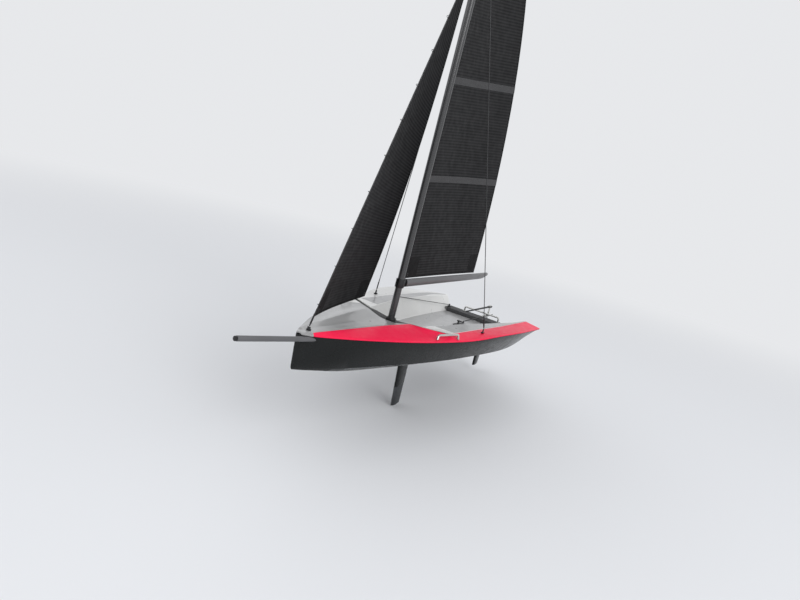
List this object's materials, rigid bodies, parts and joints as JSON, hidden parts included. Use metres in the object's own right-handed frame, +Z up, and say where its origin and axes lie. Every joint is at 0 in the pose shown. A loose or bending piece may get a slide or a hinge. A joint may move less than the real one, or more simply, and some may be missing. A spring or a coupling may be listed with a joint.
{
  "type": "radio controlled model sailboat",
  "caption": "Wide hard-chined model sailing dinghy with open cockpit, bowsprit, fin keel, stern rudder and sloop rig worked by radio gear inside.",
  "frame": {"origin": "centre of the mast foot at deck level; the boat is held afloat, and its place is counted from here", "axes": "+X to the bow, +Y to port, +Z up; the boat stands upright with the boom amidships, the rudder straight and the jib sheeted to starboard"},
  "size_m": [1.2547, 0.4434, 1.2635],
  "materials": {
    "hull": "gloss black laminate",
    "gelcoat": "satin grey gelcoat",
    "white": "white gelcoat",
    "red": "bright red gelcoat",
    "pad": "dark grey non-slip moulding",
    "carbon": "dark carbon laminate, satin",
    "sail": "black laminated sailcloth with fine threads",
    "strip": "dark grey batten pocket",
    "tube": "grey satin tube",
    "steel": "polished stainless",
    "wire": "dark stranded wire",
    "lead": "grey faired ballast",
    "plastic": "black moulded plastic",
    "label": "blue moulded plastic"
  },
  "bodies": {
    "hull": {"hull_shell": "hull", "foredeck": "gelcoat", "sheer_panel_port": "red", "sheer_panel_starboard": "gelcoat", "cockpit_moulding": "white", "cockpit_gutter": "pad", "mast_bulkhead": "gelcoat", "transom_plate": "hull", "aft_deck": "pad", "bowsprit": "tube", "bowsprit_cap": "plastic", "bowsprit_heel_block": "plastic", "keel_fin": "hull", "keel_ballast": "lead", "keel_bolt": "steel", "keel_nut": "steel", "rudder_bracket": "steel", "rudder_servo": "plastic", "mast_tube": "carbon", "mast_step": "plastic", "masthead_cap": "plastic", "gooseneck_bracket": "steel", "gooseneck_pin": "steel", "hounds_fitting": "steel", "forestay": "wire", "forestay_deck_eye": "steel", "shroud_port": "wire", "shroud_starboard": "wire", "chainplate_port": "steel", "chainplate_starboard": "steel", "grab_rail_port": "steel", "grab_rail_starboard": "steel", "stern_rail": "steel", "sheet_lead_eye": "steel", "sheet_turning_block": "plastic", "sheet_loop_line": "plastic", "radio_tray": "carbon", "tray_bearer_aft": "carbon", "tray_bearer_forward": "carbon", "sail_winch": "plastic", "battery_pack": "label", "receiver": "plastic", "switch_housing": "plastic"},
    "main_boom": {"boom_tube": "carbon", "boom_end_cap": "plastic", "boom_tang": "steel", "mainsail": "sail", "batten_lower": "strip", "batten_middle": "strip", "batten_upper": "strip"},
    "jib_sail": {"jib": "sail"},
    "rudder": {"rudder_stock": "steel", "rudder_blade": "hull", "rudder_arm": "plastic", "tiller": "carbon"},
    "steering_rod": {"steering_pushrod": "steel"},
    "steering_horn": {"servo_horn": "plastic"},
    "drum": {"winch_drum": "label"},
    "switch": {"switch_slider": "steel"},
    "door": {"radio_door": "gelcoat"}
  },
  "joints": [
    {"name": "boom_swing", "type": "hinge", "parent": "hull", "child": "main_boom", "pos_m": [-0.018, 0, 0.094], "axis": [0, 0, 1], "range_deg": [-36, 36]},
    {"name": "jib_swing", "type": "hinge", "parent": "hull", "child": "jib_sail", "pos_m": [0.312, 0, 0.018], "axis": [-0.3384, 0, 0.941], "range_deg": [-55.5, 24.5]},
    {"name": "rudder_turn", "type": "hinge", "parent": "hull", "child": "rudder", "pos_m": [-0.72, 0, -0.0435], "axis": [0, 0, 1], "range_deg": [-35, 35]},
    {"name": "rod_pin", "type": "hinge", "parent": "rudder", "child": "steering_rod", "pos_m": [-0.72, 0.016, -0.0395], "axis": [0, 0, 1], "range_deg": [-35, 35]},
    {"name": "horn_turn", "type": "hinge", "parent": "hull", "child": "steering_horn", "pos_m": [-0.45, 0, -0.0435], "axis": [0, 0, 1], "range_deg": [-35, 35]},
    {"name": "drum_turn", "type": "hinge", "parent": "hull", "child": "drum", "pos_m": [0.07, 0, -0.02], "axis": [0, 0, 1], "range_deg": [-540, 540]},
    {"name": "switch_slide", "type": "slide", "parent": "hull", "child": "switch", "axis": [0, 1, 0], "range_m": [-0.0018, 0.0018]},
    {"name": "door_hinge", "type": "hinge", "parent": "hull", "child": "door", "pos_m": [-0.024, 0, -0.046], "axis": [0, -1, 0], "range_deg": [0, 75]}
  ],
  "couplings": [
    {"joint": "rod_pin", "follows": "rudder_turn", "ratio": -1},
    {"joint": "horn_turn", "follows": "rudder_turn", "ratio": 1}
  ]
}
